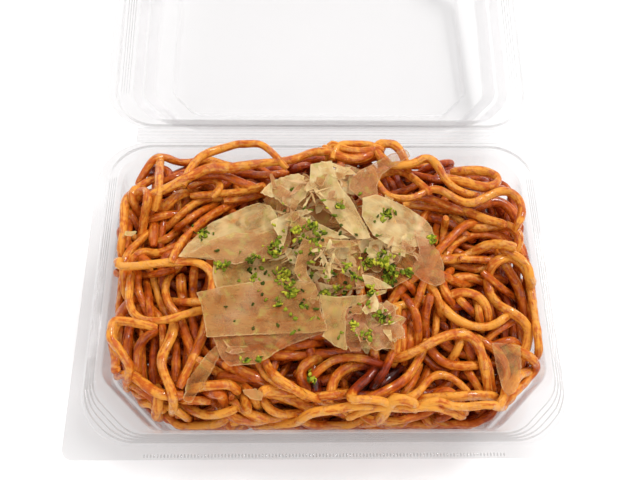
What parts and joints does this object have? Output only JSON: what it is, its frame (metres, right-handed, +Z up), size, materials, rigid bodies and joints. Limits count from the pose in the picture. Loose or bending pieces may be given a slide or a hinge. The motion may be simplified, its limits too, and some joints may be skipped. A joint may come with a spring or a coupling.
{
  "type": "yakisoba in a clear hinged pack",
  "caption": "Sauce-fried noodles topped with bonito shavings, filling a clear hinged takeaway pack whose lid is folded back onto the table.",
  "frame": {"origin": "centre of the tray's flat underside, on the table", "axes": "+X along the lid's hinge, +Y from the front edge to the hinge and the opened lid, +Z up"},
  "size_m": [0.18, 0.2664, 0.0543],
  "materials": {
    "clear_film": "clear, thermoformed, glossy",
    "noodle": "moist, glazed with brown sauce",
    "bonito_pale": "thin, dry, translucent shavings",
    "bonito_tan": "thin, dry, translucent shavings"
  },
  "bodies": {
    "base": {"tray": "clear_film", "noodles": "noodle", "bonito_mound": "bonito_pale", "flake_front_under": "bonito_pale", "flake_left_low": "bonito_pale", "flake_left_pale": "bonito_pale", "flake_left_tan": "bonito_tan", "flake_front_large": "bonito_tan", "flake_back_left": "bonito_pale", "flake_back_tall": "bonito_pale", "flake_back_right": "bonito_tan", "flake_right_pale": "bonito_pale", "flake_right_pink": "bonito_tan", "flake_middle": "bonito_tan", "flake_front_narrow": "bonito_pale", "flake_front_right": "bonito_tan", "flake_left_corner": "bonito_pale", "flake_right_corner": "bonito_pale"},
    "lid": {"lid": "clear_film"}
  },
  "joints": [
    {"name": "lid_hinge", "type": "hinge", "parent": "base", "child": "lid", "pos_m": [0, 0.0685, 0.0292], "axis": [1, 0, 0], "range_deg": [0, 174.3]}
  ]
}
